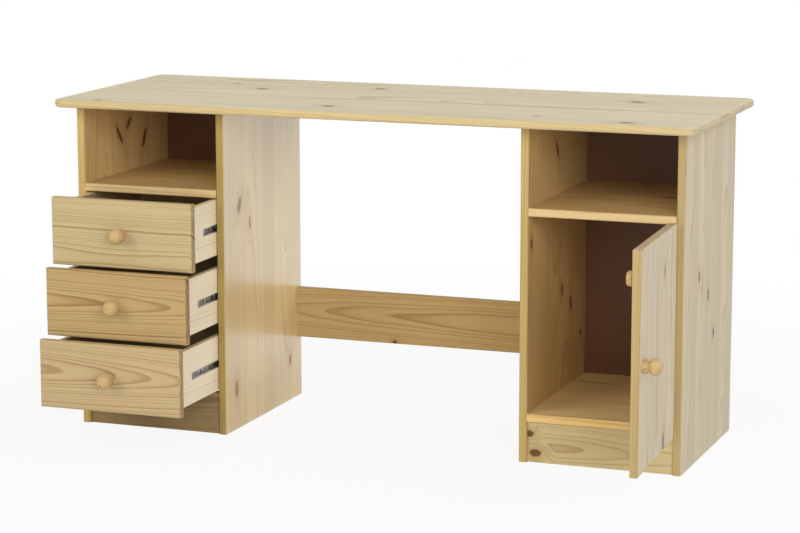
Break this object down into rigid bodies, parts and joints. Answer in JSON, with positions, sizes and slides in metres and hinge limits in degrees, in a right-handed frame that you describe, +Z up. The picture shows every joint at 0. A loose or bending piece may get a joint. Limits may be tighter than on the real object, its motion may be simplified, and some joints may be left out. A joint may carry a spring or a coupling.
{
  "type": "kneehole desk",
  "caption": "Pine kneehole desk: pedestals with open compartments, drawers on ball slides and a cupboard door on concealed hinges",
  "frame": {"origin": "On the floor, under the middle of the desk top", "axes": "+X to the right as seen from the sitter's place, +Y to the back, +Z up"},
  "size_m": [1.4656, 0.85, 0.74],
  "materials": {
    "pine_top": "satin clear lacquer over edge-glued pine, pale",
    "pine_carcass": "satin clear lacquer over edge-glued pine",
    "pine_front": "satin clear lacquer over pine with strong grain, warm",
    "pine_drawer": "satin clear lacquer over pale pine",
    "pine_turned": "satin clear lacquer over turned pine",
    "beech": "bare fluted beech, glued in",
    "hardboard": "dark brown hardboard, smooth face",
    "slide_steel": "dark zinc-plated steel",
    "hinge_nickel": "nickel-plated steel",
    "screw_zinc": "zinc-plated steel"
  },
  "bodies": {
    "carcass": {"bottom_drawer_rails": "slide_steel", "carcass_dowels": "beech", "desk_top": "pine_top", "hinge_arm_pins": "hinge_nickel", "hinge_arms": "hinge_nickel", "hinge_plates": "hinge_nickel", "left_back_panel": "hardboard", "left_inner_side": "pine_carcass", "left_outer_side": "pine_carcass", "left_plinth": "pine_carcass", "left_shelf": "pine_carcass", "middle_drawer_rails": "slide_steel", "right_back_panel": "hardboard", "right_floor": "pine_carcass", "right_inner_side": "pine_carcass", "right_outer_side": "pine_carcass", "right_plinth": "pine_carcass", "right_shelf": "pine_carcass", "stretcher": "pine_carcass", "top_dowels": "beech", "top_drawer_rails": "slide_steel"},
    "top_drawer": {"top_drawer_back": "pine_drawer", "top_drawer_bottom": "hardboard", "top_drawer_channels": "slide_steel", "top_drawer_dowels": "beech", "top_drawer_front": "pine_front", "top_drawer_knob": "pine_turned", "top_drawer_knob_screw": "screw_zinc", "top_drawer_left_side": "pine_drawer", "top_drawer_right_side": "pine_drawer"},
    "top_drawer_cage_pair": {"top_drawer_cages": "slide_steel"},
    "middle_drawer": {"middle_drawer_back": "pine_drawer", "middle_drawer_bottom": "hardboard", "middle_drawer_channels": "slide_steel", "middle_drawer_dowels": "beech", "middle_drawer_front": "pine_front", "middle_drawer_knob": "pine_turned", "middle_drawer_knob_screw": "screw_zinc", "middle_drawer_left_side": "pine_drawer", "middle_drawer_right_side": "pine_drawer"},
    "middle_drawer_cage_pair": {"middle_drawer_cages": "slide_steel"},
    "bottom_drawer": {"bottom_drawer_back": "pine_drawer", "bottom_drawer_bottom": "hardboard", "bottom_drawer_channels": "slide_steel", "bottom_drawer_dowels": "beech", "bottom_drawer_front": "pine_front", "bottom_drawer_knob": "pine_turned", "bottom_drawer_knob_screw": "screw_zinc", "bottom_drawer_left_side": "pine_drawer", "bottom_drawer_right_side": "pine_drawer"},
    "bottom_drawer_cage_pair": {"bottom_drawer_cages": "slide_steel"},
    "hinge_link_pair": {"hinge_links": "hinge_nickel"},
    "door": {"door_button": "pine_turned", "door_knob": "pine_turned", "door_knob_screw": "screw_zinc", "door_panel": "pine_front", "hinge_cups": "hinge_nickel", "hinge_cup_pins": "hinge_nickel"}
  },
  "joints": [
    {"name": "top_drawer_slide", "type": "slide", "parent": "carcass", "child": "top_drawer", "axis": [0, -1, 0], "range_m": [-0.128, 0.102]},
    {"name": "top_cage_slide", "type": "slide", "parent": "carcass", "child": "top_drawer_cage_pair", "axis": [0, -1, 0], "range_m": [-0.064, 0.051]},
    {"name": "middle_drawer_slide", "type": "slide", "parent": "carcass", "child": "middle_drawer", "axis": [0, -1, 0], "range_m": [-0.161, 0.069]},
    {"name": "middle_cage_slide", "type": "slide", "parent": "carcass", "child": "middle_drawer_cage_pair", "axis": [0, -1, 0], "range_m": [-0.0805, 0.0345]},
    {"name": "bottom_drawer_slide", "type": "slide", "parent": "carcass", "child": "bottom_drawer", "axis": [0, -1, 0], "range_m": [-0.198, 0.032]},
    {"name": "bottom_cage_slide", "type": "slide", "parent": "carcass", "child": "bottom_drawer_cage_pair", "axis": [0, -1, 0], "range_m": [-0.099, 0.016]},
    {"name": "hinge_link_turn", "type": "hinge", "parent": "carcass", "child": "hinge_link_pair", "pos_m": [0.65211, -0.22663, 0.16], "axis": [0, 0, 1], "range_deg": [-1.6, 64.2]},
    {"name": "door_swing", "type": "hinge", "parent": "hinge_link_pair", "child": "door", "pos_m": [0.66892, -0.24725, 0.16], "axis": [0, 0, 1], "range_deg": [-156.93, 3.72]}
  ],
  "couplings": [
    {"joint": "top_cage_slide", "follows": "top_drawer_slide", "ratio": 0.5},
    {"joint": "middle_cage_slide", "follows": "middle_drawer_slide", "ratio": 0.5},
    {"joint": "bottom_cage_slide", "follows": "bottom_drawer_slide", "ratio": 0.5},
    {"joint": "hinge_link_turn", "follows": "door_swing", "ratio": -0.40868}
  ]
}
